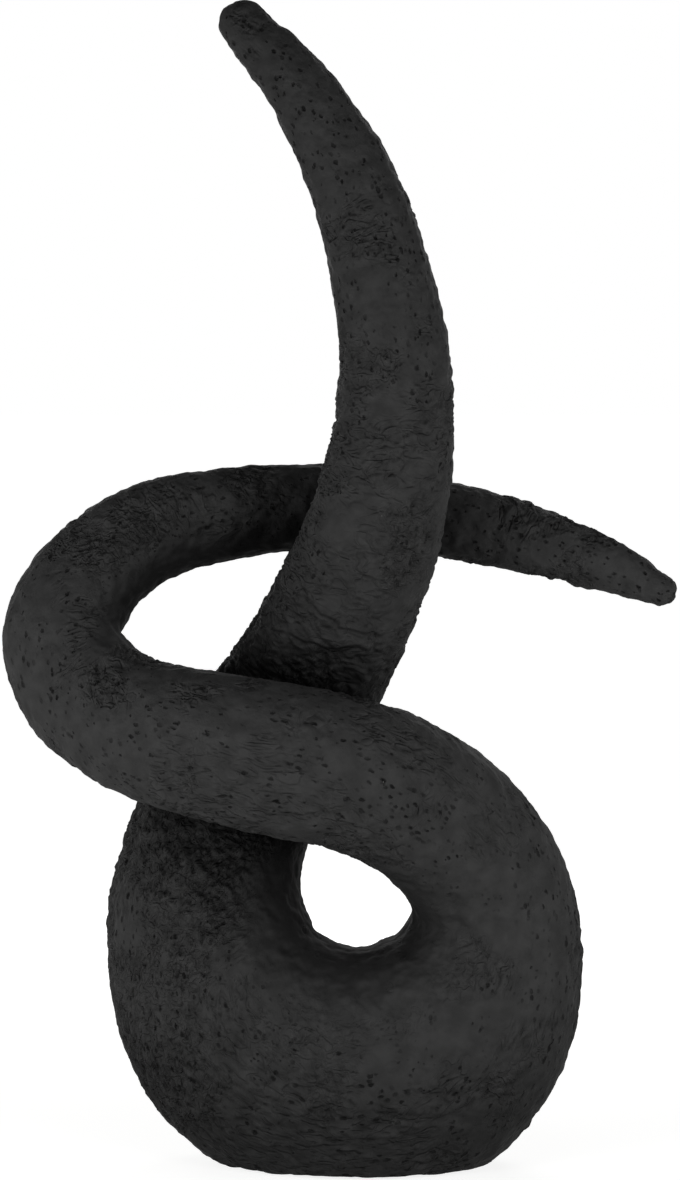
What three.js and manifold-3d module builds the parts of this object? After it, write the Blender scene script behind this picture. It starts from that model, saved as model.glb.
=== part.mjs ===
// A free-standing knot sculpture in black cast resin, in millimetres, +Z up, its front towards -Y.
// One tapering strand stands on a thick flat-footed loop. Its left end rises behind the front band and
// turns up as a tall horn. Its right end crosses the front as a band, bends round the left side, passes
// behind the horn and runs out to the right as a short horn.
// It is cast in three lengths, which meet at two keyed joints with a steel rod through each, and it
// stands on four felt pads. The origin is on the ground, under the middle of the whole sculpture.
import * as THREE from 'three';
import { mergeVertices } from 'three/addons/utils/BufferGeometryUtils.js';
import Module from 'manifold-3d';

// The strand, station by station, from the tall horn's tip round the foot to the short horn's tip.
// x and z place its centre, and y is how far back it lies. thick is its width seen from the front. It is
// as deep as that from front to back, unless deep says otherwise.
// From the foot on, pass says how far the strand has left the middle plane: -1 is the full step
// forwards in front of the tall horn's foot, and 1 is the full step back behind the tall horn.
const TALL_HORN = [
  { x: -29.5, y: -4, z: 324.5, thick: 13.5 },
  { x: -15, y: -7, z: 308.5, thick: 18.5 },
  { x: 1.5, y: -9, z: 280, thick: 24.5 },
  { x: 10, y: -10, z: 252, thick: 28.5 },
  { x: 13.5, y: -10, z: 224, thick: 32.5 },
  { x: 8, y: -6, z: 184, thick: 38.5 },
  { x: -12.5, y: 11, z: 137, thick: 44.5 },
];
const TALL_JOINT = { x: -25, y: 17, z: 118, thick: 47 };
const LEFT_RISE = [
  { x: -34.5, y: 17, z: 99, thick: 50 },
  { x: -41, y: 11, z: 72, thick: 56 },
  { x: -34, y: 5, z: 44.5, thick: 67, deep: 61 },
  { x: -18.5, y: 2, z: 31, thick: 72, deep: 64 },
];
const FOOT = { x: 2, y: 0, z: 26, thick: 72.5, deep: 65 };
const RIGHT_RISE = [
  { x: 22.5, z: 31, thick: 71.5, deep: 64, pass: 0 },
  { x: 35, z: 44, thick: 64, deep: 60, pass: 0 },
  { x: 41, z: 60, thick: 54, pass: 0 },
];
const BAND_JOINT = { x: 40.5, z: 80, thick: 45.5, pass: -0.1 };
const BAND = [
  { x: 28.5, z: 99, thick: 43.5, pass: -0.4 },
  { x: 6, z: 114, thick: 43.5, pass: -0.8 },
  { x: -28, z: 122.5, thick: 42, pass: -1 },
  { x: -62, z: 129, thick: 38, pass: -0.35 },
];
const LEFT_BEND = [
  { x: -76, z: 139, thick: 37, pass: 0 },
  { x: -81, z: 154, thick: 33.5, pass: 0.22 },
  { x: -63, z: 176.5, thick: 30, pass: 0.72 },
];
const SHORT_HORN = [
  { x: -29, z: 185.5, thick: 26, pass: 0.95 },
  { x: 3, z: 186, thick: 24.5, pass: 1 },
  { x: 31, z: 182.5, thick: 22, pass: 0.95 },
  { x: 55, z: 177, thick: 19.5, pass: 0.86 },
  { x: 79, z: 168.5, thick: 14, pass: 0.74 },
  { x: 90.5, z: 163, thick: 9.5, pass: 0.68 },
];

// Castings
const TALL_TIP_LENGTH = 6; // the rounded end beyond the tall horn's last station
const SHORT_TIP_LENGTH = 4.5;
const TIP_SWEEP = 84; // degrees of the tip's rounding, up to the small flat that closes it
const TIP_RINGS = 6;
const TOUCH_GAP = 0.3; // between strands where they cross, and between glued faces
const STEADY_REACH = 12; // a section faces along the chord that runs this far before and after it
const EYE = { x: FOOT.x, z: 77 }; // the middle of the loop's opening, round which its sections fan out
const FAN_REACH = 60; // how far from its joints the loop's sections take to do so
const SIDES = 32;
const RING_PITCH = 6;
const DIVISIONS_PER_STATION = 40; // of the centre line, when its length is measured
const MERGE_WITHIN = 1e-4;

// How the steps forwards and back at the crossings are found
const FIRST_STEP = 30;
const LEAST_STEP = 5;
const GREATEST_STEP = 90;
const HALVINGS = 14;
const SEATING_ROUNDS = 3;
const GAP_PITCH = 2.5; // between the sections whose gap is measured

// Keyed joints: a square tapered key on each horn's casting, in a socket of the foot's casting
const KEY_SIDE = 19;
const KEY_LENGTH = 14;
const KEY_TAPER = 2; // how much narrower the key's end is
const KEY_ROOT = 1; // how far the key's root lies within its own casting
const KEY_CLEARANCE = 0.3;

// Steel rods, which lie in the castings and cross the joints
const ROD_DIAMETER = 6;
const ROD_IN_FOOT = 36; // from the joint's face
const ROD_IN_TALL_HORN = 120;
const ROD_IN_BAND = 105;
const ROD_CLEARANCE = 0.3;
const ROD_SIDES = 12;

// Felt pads under the foot
const PAD_DIAMETER = 12;
const PAD_THICKNESS = 1.2;
const PAD_FROM_EDGE = 5.5;
const PAD_BEARING = 24; // degrees from the foot's long axis
const PAD_SIDES = 32;

const RESIN_COLOUR = 0x2d2d2d;
const STEEL_COLOUR = 0x8a8d90;
const FELT_COLOUR = 0x1b1b1b;

const wasm = await Module();
wasm.setup();

/** A closed geometry as a solid that can be joined and cut. */
function solidFrom(geometry) {
  const bare = geometry.index ? geometry.toNonIndexed() : geometry.clone();
  bare.deleteAttribute('normal');
  bare.deleteAttribute('uv');
  const merged = mergeVertices(bare, MERGE_WITHIN);
  const mesh = new wasm.Mesh({
    numProp: 3,
    vertProperties: merged.attributes.position.array,
    triVerts: new Uint32Array(merged.index.array),
  });
  return new wasm.Manifold(mesh);
}

/** A solid as a geometry with flat-shaded normals. */
function geometryFrom(solid) {
  const mesh = solid.getMesh();
  const geometry = new THREE.BufferGeometry();
  geometry.setAttribute('position', new THREE.BufferAttribute(mesh.vertProperties, 3));
  geometry.setIndex(new THREE.BufferAttribute(mesh.triVerts, 1));
  geometry.computeVertexNormals();
  return geometry;
}

/** The strand's centre line and thickness, for one pair of steps forwards and back. */
function strandFor(stepForward, stepBack) {
  const fromTall = [...TALL_HORN, TALL_JOINT, ...LEFT_RISE, FOOT];
  const toShort = [...RIGHT_RISE, BAND_JOINT, ...BAND, ...LEFT_BEND, ...SHORT_HORN];
  const stations = [...fromTall, ...toShort];
  const depthOf = ({ y, pass }) => y ?? pass * (pass < 0 ? stepForward : stepBack);
  const centres = stations.map((station) => new THREE.Vector3(station.x, depthOf(station), station.z));
  const halves = stations.map(({ thick, deep = thick }) => new THREE.Vector3(thick / 2, deep / 2, 0));
  const line = new THREE.CatmullRomCurve3(centres, false, 'centripetal');
  line.arcLengthDivisions = DIVISIONS_PER_STATION * stations.length;
  const size = new THREE.CatmullRomCurve3(halves, false, 'catmullrom', 0.5);
  const lengths = line.getLengths();
  const total = lengths[lengths.length - 1];
  // The way along the line, in millimetres, at which a station lies
  const wayOf = (station) => {
    const at = (stations.indexOf(station) / (stations.length - 1)) * line.arcLengthDivisions;
    const low = Math.floor(at);
    const high = Math.min(low + 1, line.arcLengthDivisions);
    return THREE.MathUtils.lerp(lengths[low], lengths[high], at - low);
  };
  const tallJoint = wayOf(TALL_JOINT);
  const bandJoint = wayOf(BAND_JOINT);
  // How far a section turns from square to the line to square to the eye's rim
  const fanShare = (way) =>
    THREE.MathUtils.smoothstep(way, tallJoint, tallJoint + FAN_REACH) *
    THREE.MathUtils.smoothstep(-way, -bandJoint, FAN_REACH - bandJoint);
  // The cross-section at a way along the line: its centre, heading, sideways and front-to-back axes and radii
  const at = (way) => {
    const share = THREE.MathUtils.clamp(way / total, 0, 1);
    const centre = line.getPointAt(share);
    const behind = line.getPointAt(Math.max(share - STEADY_REACH / total, 0));
    const ahead = line.getPointAt(Math.min(share + STEADY_REACH / total, 1));
    const heading = ahead.sub(behind).normalize();
    const round = new THREE.Vector3(EYE.z - centre.z, 0, centre.x - EYE.x).normalize();
    heading.lerp(round.setY(heading.y), fanShare(way)).normalize();
    const across = new THREE.Vector3(0, 1, 0).cross(heading).normalize();
    const through = new THREE.Vector3().crossVectors(heading, across);
    const { x: radius, y: depthRadius } = size.getPoint(line.getUtoTmapping(share));
    return { centre, heading, across, through, radius, depthRadius };
  };
  return {
    at,
    total,
    tallJoint,
    bandJoint,
    leftRiseEnd: wayOf(LEFT_RISE.at(-1)),
    bendStart: wayOf(BAND.at(-1)),
  };
}

/** The least gap between two stretches of a strand, each given by the ways at which it starts and ends. */
function gapBetween(strand, [startA, endA], [startB, endB]) {
  const sections = (start, end) => {
    const count = Math.ceil((end - start) / GAP_PITCH);
    return Array.from({ length: count + 1 }, (_, i) => strand.at(start + ((end - start) * i) / count));
  };
  const others = sections(startB, endB);
  return Math.min(
    ...sections(startA, endA).map((a) =>
      Math.min(...others.map((b) => a.centre.distanceTo(b.centre) - a.radius - b.radius)),
    ),
  );
}

/** The smallest step that leaves the touch gap: gapAt gives the gap for a step, and grows with it. */
function stepThatSeats(gapAt) {
  let low = LEAST_STEP;
  let high = GREATEST_STEP;
  for (let i = 0; i < HALVINGS; i++) {
    const middle = (low + high) / 2;
    if (gapAt(middle) < TOUCH_GAP) {
      low = middle;
    } else {
      high = middle;
    }
  }
  return high;
}

/** The strand whose band just rests on the tall horn's foot, and whose short horn just clears its back. */
function seatedStrand() {
  let forward = FIRST_STEP;
  let back = FIRST_STEP;
  const tallStretch = (strand) => [0, strand.leftRiseEnd];
  for (let round = 0; round < SEATING_ROUNDS; round++) {
    forward = stepThatSeats((step) => {
      const strand = strandFor(step, back);
      return gapBetween(strand, [strand.bandJoint, strand.bendStart], tallStretch(strand));
    });
    back = stepThatSeats((step) => {
      const strand = strandFor(forward, step);
      return gapBetween(strand, [strand.bendStart, strand.total], tallStretch(strand));
    });
  }
  return strandFor(forward, back);
}

/** A closed tube through cross-sections, its first and last ring closed by a fan. */
function tubeGeometry(sections, sides) {
  const positions = [];
  sections.forEach(({ centre, across, through, radius, depthRadius }) => {
    for (let side = 0; side < sides; side++) {
      const turn = (2 * Math.PI * side) / sides;
      const point = centre.clone();
      point.addScaledVector(across, radius * Math.cos(turn));
      point.addScaledVector(through, depthRadius * Math.sin(turn));
      positions.push(...point.toArray());
    }
  });
  const last = sections.length - 1;
  const firstHub = sections.length * sides;
  const lastHub = firstHub + 1;
  positions.push(...sections[0].centre.toArray(), ...sections[last].centre.toArray());
  const index = [];
  for (let ring = 0; ring < last; ring++) {
    for (let side = 0; side < sides; side++) {
      const a = ring * sides + side;
      const b = ring * sides + ((side + 1) % sides);
      index.push(a, b, a + sides, b, b + sides, a + sides);
    }
  }
  for (let side = 0; side < sides; side++) {
    const next = (side + 1) % sides;
    index.push(firstHub, next, side);
    index.push(lastHub, last * sides + side, last * sides + next);
  }
  const geometry = new THREE.BufferGeometry();
  geometry.setAttribute('position', new THREE.Float32BufferAttribute(positions, 3));
  geometry.setIndex(index);
  return geometry;
}

/** Cross-sections of the strand between two ways along it, about one ring pitch apart. */
function sectionsBetween(strand, start, end) {
  const count = Math.ceil((end - start) / RING_PITCH);
  return Array.from({ length: count + 1 }, (_, i) => strand.at(start + ((end - start) * i) / count));
}

/** Ever smaller sections beyond a horn's last station, which round off its tip. */
function tipSections(section, outward, length) {
  return Array.from({ length: TIP_RINGS }, (_, i) => {
    const turn = THREE.MathUtils.degToRad(TIP_SWEEP * ((i + 1) / TIP_RINGS));
    const centre = section.centre.clone().addScaledVector(outward, length * Math.sin(turn));
    const shrink = Math.cos(turn);
    return { ...section, centre, radius: section.radius * shrink, depthRadius: section.depthRadius * shrink };
  });
}

/** The square tapered key of a joint, with its root at the face and its end in the foot's casting. */
function keySolid(section, intoFoot, grow) {
  const cornerShare = Math.SQRT1_2; // half a square's diagonal over its side
  const corners = 4;
  const key = new THREE.CylinderGeometry(
    (KEY_SIDE - KEY_TAPER + 2 * grow) * cornerShare,
    (KEY_SIDE + 2 * grow) * cornerShare,
    KEY_LENGTH + grow,
    corners,
  );
  key.rotateY(Math.PI / 4);
  key.translate(0, (KEY_LENGTH + grow) / 2, 0);
  const turn = new THREE.Matrix4().makeBasis(
    new THREE.Vector3().crossVectors(intoFoot, section.through),
    intoFoot,
    section.through,
  );
  key.applyMatrix4(turn);
  key.translate(...section.centre.toArray());
  return solidFrom(key);
}

/** The cross-sections of a rod: straight into the foot's casting, and along the strand in the horn's. */
function rodSections(strand, jointWay, towards, reachInHorn, grow) {
  const joint = strand.at(jointWay);
  const intoFoot = joint.heading.clone().multiplyScalar(-towards);
  const radius = ROD_DIAMETER / 2 + grow;
  const inFoot = { ...joint, centre: joint.centre.clone().addScaledVector(intoFoot, ROD_IN_FOOT + grow) };
  const reach = reachInHorn + grow;
  const count = Math.ceil(reach / RING_PITCH);
  const inHorn = Array.from({ length: count + 1 }, (_, i) =>
    strand.at(jointWay + (towards * reach * i) / count),
  );
  const sections = [inFoot, ...inHorn].map((section) => ({ ...section, radius, depthRadius: radius }));
  return towards > 0 ? sections : sections.reverse();
}

const strand = seatedStrand();

const joints = {
  tall: { way: strand.tallJoint, towards: -1, reach: ROD_IN_TALL_HORN },
  band: { way: strand.bandJoint, towards: 1, reach: ROD_IN_BAND },
};

/** The channel that a joint's rod lies in, as a solid to cut with. */
function rodChannel({ way, towards, reach }) {
  return solidFrom(tubeGeometry(rodSections(strand, way, towards, reach, ROD_CLEARANCE), ROD_SIDES));
}

/** The thick loop between the joints, ground flat to stand on, with a socket and a rod hole at each end. */
function footCasting() {
  const start = joints.tall.way + TOUCH_GAP / 2;
  const end = joints.band.way - TOUCH_GAP / 2;
  let solid = solidFrom(tubeGeometry(sectionsBetween(strand, start, end), SIDES));
  const groundWidth = 400;
  const groundDepth = 100;
  const ground = new THREE.BoxGeometry(groundWidth, groundWidth, groundDepth);
  ground.translate(0, 0, PAD_THICKNESS - groundDepth / 2);
  solid = solid.subtract(solidFrom(ground));
  Object.values(joints).forEach((joint) => {
    const section = strand.at(joint.way);
    const intoFoot = section.heading.clone().multiplyScalar(-joint.towards);
    solid = solid.subtract(keySolid(section, intoFoot, KEY_CLEARANCE));
    solid = solid.subtract(rodChannel(joint));
  });
  return solid;
}

/** One horn's casting: its stretch of the strand, its rounded tip, its key and the rod's channel. */
function hornCasting(joint, tipLength) {
  const { way, towards } = joint;
  const tip = strand.at(towards > 0 ? strand.total : 0);
  const outward = tip.heading.clone().multiplyScalar(towards);
  const rounded = tipSections(tip, outward, tipLength);
  const sections =
    towards > 0
      ? [...sectionsBetween(strand, way + TOUCH_GAP / 2, strand.total), ...rounded]
      : [...rounded.reverse(), ...sectionsBetween(strand, 0, way - TOUCH_GAP / 2)];
  const section = strand.at(way);
  const intoFoot = section.heading.clone().multiplyScalar(-towards);
  const root = { ...section, centre: section.centre.clone().addScaledVector(intoFoot, -KEY_ROOT) };
  return solidFrom(tubeGeometry(sections, SIDES))
    .add(keySolid(root, intoFoot, 0))
    .subtract(rodChannel(joint));
}

/** The steel rod of a joint. */
function rodGeometry({ way, towards, reach }) {
  return tubeGeometry(rodSections(strand, way, towards, reach, 0), ROD_SIDES);
}

/** How far the foot's flat face reaches from its middle at a bearing, found by a ray from outside. */
function footReach(footMesh, bearing) {
  const outside = 200;
  const aboveFace = 0.05;
  const inward = new THREE.Vector3(-Math.cos(bearing), -Math.sin(bearing), 0);
  const start = new THREE.Vector3(FOOT.x, FOOT.y, PAD_THICKNESS + aboveFace);
  start.addScaledVector(inward, -outside);
  const [hit] = new THREE.Raycaster(start, inward).intersectObject(footMesh);
  return outside - hit.distance;
}

const resin = new THREE.MeshStandardMaterial({ color: RESIN_COLOUR, roughness: 0.9, metalness: 0 });
const steel = new THREE.MeshStandardMaterial({ color: STEEL_COLOUR, roughness: 0.4, metalness: 1 });
const felt = new THREE.MeshStandardMaterial({ color: FELT_COLOUR, roughness: 1, metalness: 0 });

const sculpture = new THREE.Group();

/** Adds one named piece to the sculpture. */
function addPiece(name, geometry, material) {
  const mesh = new THREE.Mesh(geometry, material);
  mesh.name = name;
  sculpture.add(mesh);
  return mesh;
}

const footMesh = addPiece('foot_loop', geometryFrom(footCasting()), resin);
addPiece('tall_horn', geometryFrom(hornCasting(joints.tall, TALL_TIP_LENGTH)), resin);
addPiece('band_and_short_horn', geometryFrom(hornCasting(joints.band, SHORT_TIP_LENGTH)), resin);
addPiece('tall_horn_rod', rodGeometry(joints.tall), steel);
addPiece('band_rod', rodGeometry(joints.band), steel);

const padBearings = {
  right_back: PAD_BEARING,
  left_back: 180 - PAD_BEARING,
  left_front: 180 + PAD_BEARING,
  right_front: 360 - PAD_BEARING,
};
Object.entries(padBearings).forEach(([place, degrees]) => {
  const bearing = THREE.MathUtils.degToRad(degrees);
  const reach = footReach(footMesh, bearing) - PAD_FROM_EDGE - PAD_DIAMETER / 2;
  const pad = new THREE.CylinderGeometry(PAD_DIAMETER / 2, PAD_DIAMETER / 2, PAD_THICKNESS, PAD_SIDES);
  pad.rotateX(Math.PI / 2);
  const { position } = addPiece(`felt_pad_${place}`, pad, felt);
  position.set(FOOT.x, FOOT.y, PAD_THICKNESS / 2);
  position.x += reach * Math.cos(bearing);
  position.y += reach * Math.sin(bearing);
});

// The origin lies on the ground under the middle of the whole sculpture
const box = new THREE.Box3().setFromObject(sculpture);
sculpture.position.set(-(box.min.x + box.max.x) / 2, -(box.min.y + box.max.y) / 2, 0);

export default sculpture;
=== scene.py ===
"""Knot sculpture in matt black cast resin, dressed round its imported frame.

A thick tapering strand stands on a flat-footed loop. One end rises behind the front band and turns
up as a tall horn. The other end crosses the front as that band, bends round the left side, passes
behind the tall horn and runs out to the right as a short horn. It is cast in three lengths, keyed,
rodded and glued together, then filled and coated, so the joints don't show.

Sizes are in millimetres and are turned to metres where they reach Blender.
"""

import logging
import math
from collections.abc import Callable
from dataclasses import dataclass, field
from enum import Enum
from functools import partial
from typing import Any, ClassVar

import bpy
import numpy as np
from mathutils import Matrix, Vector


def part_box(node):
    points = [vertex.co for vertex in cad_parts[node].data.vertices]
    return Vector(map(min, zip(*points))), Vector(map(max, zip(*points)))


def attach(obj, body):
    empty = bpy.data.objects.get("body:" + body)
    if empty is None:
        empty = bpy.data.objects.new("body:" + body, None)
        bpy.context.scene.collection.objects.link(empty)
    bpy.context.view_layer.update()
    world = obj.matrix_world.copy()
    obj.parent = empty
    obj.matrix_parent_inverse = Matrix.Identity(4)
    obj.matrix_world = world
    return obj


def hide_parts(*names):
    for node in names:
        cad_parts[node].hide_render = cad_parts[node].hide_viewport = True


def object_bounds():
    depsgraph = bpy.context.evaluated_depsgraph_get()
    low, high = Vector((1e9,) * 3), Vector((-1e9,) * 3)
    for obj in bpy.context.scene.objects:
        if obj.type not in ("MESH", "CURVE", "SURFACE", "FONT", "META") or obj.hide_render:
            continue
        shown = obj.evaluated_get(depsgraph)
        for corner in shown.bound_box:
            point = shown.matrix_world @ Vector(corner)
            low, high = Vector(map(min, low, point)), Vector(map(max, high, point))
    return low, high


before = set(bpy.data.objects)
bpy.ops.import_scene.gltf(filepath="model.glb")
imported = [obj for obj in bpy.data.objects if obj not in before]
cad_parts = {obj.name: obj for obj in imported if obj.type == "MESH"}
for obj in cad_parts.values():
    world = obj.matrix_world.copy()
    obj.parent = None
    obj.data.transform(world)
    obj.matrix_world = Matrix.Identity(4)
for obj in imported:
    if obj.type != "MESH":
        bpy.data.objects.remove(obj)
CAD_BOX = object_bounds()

LOG = logging.getLogger("knot_sculpture")
MM = 0.001
ROOT = "root"
# Kinds of node that are used often
MATH = "ShaderNodeMath"
VECTOR = "ShaderNodeVectorMath"
NOISE = "ShaderNodeTexNoise"
RANGE = "ShaderNodeMapRange"
SPLIT = "ShaderNodeSeparateXYZ"
JOIN = "ShaderNodeCombineXYZ"
PLACE = "GeometryNodeSetPosition"
# For each kind of attribute, what Blender calls its data, and how many numbers each point has
FORMS = {"FLOAT": ("value", 1), "FLOAT_VECTOR": ("vector", 3)}
# What the skin keeps for its material: places on a straightened strand, folds' shares, pits' share
STORED = {"laid_straight": "FLOAT_VECTOR", "folded": "FLOAT_VECTOR", "pitted": "FLOAT"}
# What noise varies round
MIDDLE = 0.5
# How near to its middle the folds' noise lies in a crease, and in the mound of paste that the crease cuts
# through. The mound's height is a share of the crease's depth
CREASE_WIDTH = 0.15
MOUND_WIDTH = 0.3
MOUND_HEIGHT = 0.5
# A ground that lies below everything, in metres
NO_GROUND = -1.0

# What adds nodes to one tree
Adder = Callable[..., bpy.types.Node]


class Run(Enum):
    """Which length of the strand a casting is, and whether it starts and ends at a joint."""

    TO_START = (False, True)
    BETWEEN = (True, True)
    TO_END = (True, False)


class Slot(Enum):
    """The record's material slots."""

    RESIN = "resin"
    STEEL = "steel"
    FELT = "felt"


# Small helpers


def linear(hex_colour: str) -> tuple[float, float, float, float]:
    """Turn an sRGB hex colour to linear RGBA.

    Args:
        hex_colour: Six hex digits, with or without a leading hash.

    Returns:
        The colour in linear light, opaque.
    """
    digits = hex_colour.lstrip("#")
    parts = [int(digits[i : i + 2], 16) / 255 for i in (0, 2, 4)]
    light = [p / 12.92 if p <= 0.04045 else ((p + 0.055) / 1.055) ** 2.4 for p in parts]
    return (*light, 1.0)


def add_node(tree: bpy.types.NodeTree, kind: str, inputs: Any = (), **settings: Any) -> bpy.types.Node:
    """Add a node with its settings, values and links.

    Args:
        tree: The tree that the node goes into.
        kind: The node's type name.
        inputs: The value, socket or node (for its first output) of each input, by name, number or order.
        settings: The node's own settings.

    Returns:
        The new node.
    """
    node = tree.nodes.new(kind)
    for name, value in settings.items():
        setattr(node, name, value)
    for key, value in (inputs if isinstance(inputs, dict) else dict(enumerate(inputs))).items():
        source = value.outputs[0] if isinstance(value, bpy.types.Node) else value
        if isinstance(source, bpy.types.NodeSocket):
            tree.links.new(source, node.inputs[key])
        else:
            node.inputs[key].default_value = source
    return node


def emptied(made: bpy.types.Material | bpy.types.World) -> Adder:
    """Empty the node tree of a new material or world.

    Args:
        made: The material or world.

    Returns:
        What adds nodes to it.
    """
    made.use_nodes = True
    made.node_tree.nodes.clear()
    return partial(add_node, made.node_tree)


def geometry_tree(name: str, sockets: dict[str, str], output: str) -> tuple[bpy.types.NodeTree, Adder, Any]:
    """Start a geometry tree.

    Args:
        name: The tree's name.
        sockets: The kind of each input, by the input's name.
        output: The name of the geometry that comes out.

    Returns:
        The tree, what adds nodes to it, and the sockets that its inputs come in by.
    """
    tree = bpy.data.node_groups.new(name, "GeometryNodeTree")
    for socket, kind in sockets.items():
        tree.interface.new_socket(socket, in_out="INPUT", socket_type=f"NodeSocket{kind}")
    tree.interface.new_socket(output, in_out="OUTPUT", socket_type="NodeSocketGeometry")
    add = partial(add_node, tree)
    return tree, add, add("NodeGroupInput").outputs


def pattern(place: Any, size: float, **more: float) -> dict[str, Any]:
    """Return a pattern's inputs: the place that it reads, and its scale from a size in millimetres."""
    return {"Vector": place, "Scale": 1 / (size * MM), **more}


def scattered(
    add: Adder, place: Any, size: tuple[float, float], least: float, share: float
) -> tuple[Any, Any, Any, Any]:
    """Scatter round marks of different sizes.

    Args:
        add: Adds a node to the tree.
        place: The coordinate that they are scattered in.
        size: Their mean distance before some are left out, and the widest one's diameter, in millimetres.
        least: The narrowest one's diameter, as a share of the widest one's.
        share: The share of them that is kept.

    Returns:
        For the nearest mark: the distance from its middle, its radius, 1 if it is kept, and a random number.
    """
    pitch, width = size
    cells = add("ShaderNodeTexVoronoi", pattern(place, pitch), feature="F1")
    random = add(SPLIT, (cells.outputs["Color"],)).outputs
    half = width / 2 / pitch
    radius = add(RANGE, (random[1], 0.0, 1.0, half * least, half))
    kept = add(MATH, (random[0], share), operation="LESS_THAN")
    return cells.outputs["Distance"], radius, kept, random[2]


def unit(vectors: np.ndarray) -> np.ndarray:
    """Return the vectors along the last axis, scaled to length one."""
    return vectors / np.linalg.norm(vectors, axis=-1, keepdims=True)


def smooth_step(value: np.ndarray, low: float, high: float) -> np.ndarray:
    """Return numbers that rise smoothly from 0 where the value is low to 1 where it is high."""
    share = np.clip((value - low) / (high - low), 0.0, 1.0)
    return share * share * (3.0 - 2.0 * share)


def store(mesh: bpy.types.Mesh, name: str, values: np.ndarray) -> None:
    """Store one number or one vector for each of a mesh's points, as an attribute of this name."""
    kind = "FLOAT" if values.size == len(mesh.vertices) else "FLOAT_VECTOR"
    mesh.attributes.new(name, kind, "POINT").data.foreach_set(FORMS[kind][0], values.ravel())


def in_scene(name: str, data: bpy.types.ID) -> bpy.types.Object:
    """Put a new object in the scene.

    Args:
        name: Its name.
        data: Its mesh, lamp or camera.

    Returns:
        The object.
    """
    made = bpy.data.objects.new(name, data)
    bpy.context.scene.collection.objects.link(made)
    return made


def run_tree(tree: bpy.types.NodeTree, source: bpy.types.Mesh, values: dict[str, Any]) -> bpy.types.Mesh:
    """Run a geometry tree on a mesh and keep its result.

    Args:
        tree: The tree.
        source: The mesh that goes in. It is removed.
        values: The tree's inputs by name.

    Returns:
        The resulting mesh.
    """
    carrier = bpy.data.objects.new(source.name, source)
    modifier = carrier.modifiers.new(tree.name, "NODES")
    modifier.node_group = tree
    for item in tree.interface.items_tree:
        if item.in_out == "INPUT" and item.name in values:
            modifier[item.identifier] = values[item.name]
    bpy.context.scene.collection.objects.link(carrier)
    bpy.context.view_layer.update()
    evaluated = carrier.evaluated_get(bpy.context.evaluated_depsgraph_get())
    mesh = bpy.data.meshes.new_from_object(evaluated)
    carrier.modifiers.remove(modifier)
    bpy.data.objects.remove(carrier)
    bpy.data.meshes.remove(source)
    return mesh


def closed_tube(name: str, rings: np.ndarray) -> bpy.types.Mesh:
    """Return a mesh of rings joined in order, with a fan over the first and the last.

    The first faces join the rings, in order, and the fans come after them.

    Args:
        name: The mesh's name.
        rings: The rings' points in metres, as rings, points and coordinates.

    Returns:
        The mesh, with its faces outwards.
    """
    count, around = rings.shape[:2]
    hubs = np.stack([rings[0].mean(axis=0), rings[-1].mean(axis=0)])
    points = np.concatenate([rings.reshape(-1, 3), hubs])
    side = np.arange(around)
    after = (side + 1) % around
    base = np.arange(count - 1)[:, None] * around
    quads = np.stack([base + side, base + after, base + around + after, base + around + side], axis=2)
    first = np.stack([np.full(around, count * around), after, side], axis=1)
    end = (count - 1) * around
    last = np.stack([np.full(around, count * around + 1), end + side, end + after], axis=1)
    mesh = bpy.data.meshes.new(name)
    mesh.from_pydata(points.tolist(), [], [*quads.reshape(-1, 4).tolist(), *first.tolist(), *last.tolist()])
    return mesh


# The strand's line


@dataclass(frozen=True)
class Station:
    """A place on the strand: its centre, and its width seen from the front.

    y is how far back it lies. Where y is None, step says which share of the step forwards (below 0)
    or back (above 0) the strand has taken. deep is its depth where that isn't its width.
    """

    x: float
    z: float
    thick: float
    y: float | None = None
    step: float = 0.0
    deep: float | None = None


@dataclass(frozen=True)
class Sections:
    """Cross-sections of the strand, one row each, in millimetres."""

    centre: np.ndarray
    across: np.ndarray
    through: np.ndarray
    radius: np.ndarray
    depth: np.ndarray
    way: np.ndarray

    def joined(self, other: "Sections") -> "Sections":
        """Return these sections followed by the other ones."""
        return Sections(*(np.concatenate(pair) for pair in zip(vars(self).values(), vars(other).values())))

    @property
    def heading(self) -> np.ndarray:
        """The direction that each section faces, towards the strand's end."""
        return np.cross(self.across, self.through)


@dataclass(frozen=True)
class SmoothLine:
    """A smooth line through points, its parameter running evenly from point to point."""

    points: np.ndarray
    spaced_by_distance: bool

    def at(self, share: np.ndarray) -> np.ndarray:
        """Return the line's points.

        Args:
            share: Parameters from 0 at the first point to 1 at the last.

        Returns:
            One row for each parameter.
        """
        count = len(self.points)
        ends = 2 * self.points[[0, -1]] - self.points[[1, -2]]
        held = np.concatenate([ends[:1], self.points, ends[1:]])
        place = np.clip(share, 0.0, 1.0) * (count - 1)
        index = np.minimum(place.astype(int), count - 2)
        t = (place - index)[:, None]
        near = [held[index + k] for k in range(4)]
        before, start, end, after = near
        if self.spaced_by_distance:
            gaps = [np.sqrt(np.linalg.norm(b - a, axis=1))[:, None] for a, b in zip(near, near[1:])]
            steps = [(b - a) / gap for a, b, gap in zip(near, near[1:], gaps)]
            leave = steps[0] - (end - before) / (gaps[0] + gaps[1]) + steps[1]
            arrive = steps[1] - (after - start) / (gaps[1] + gaps[2]) + steps[2]
            leave, arrive = leave * gaps[1], arrive * gaps[1]
        else:
            leave, arrive = (end - before) / 2, (after - start) / 2
        square = -3 * start + 3 * end - 2 * leave - arrive
        cube = 2 * start - 2 * end + leave + arrive
        return start + leave * t + square * t**2 + cube * t**3


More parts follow.
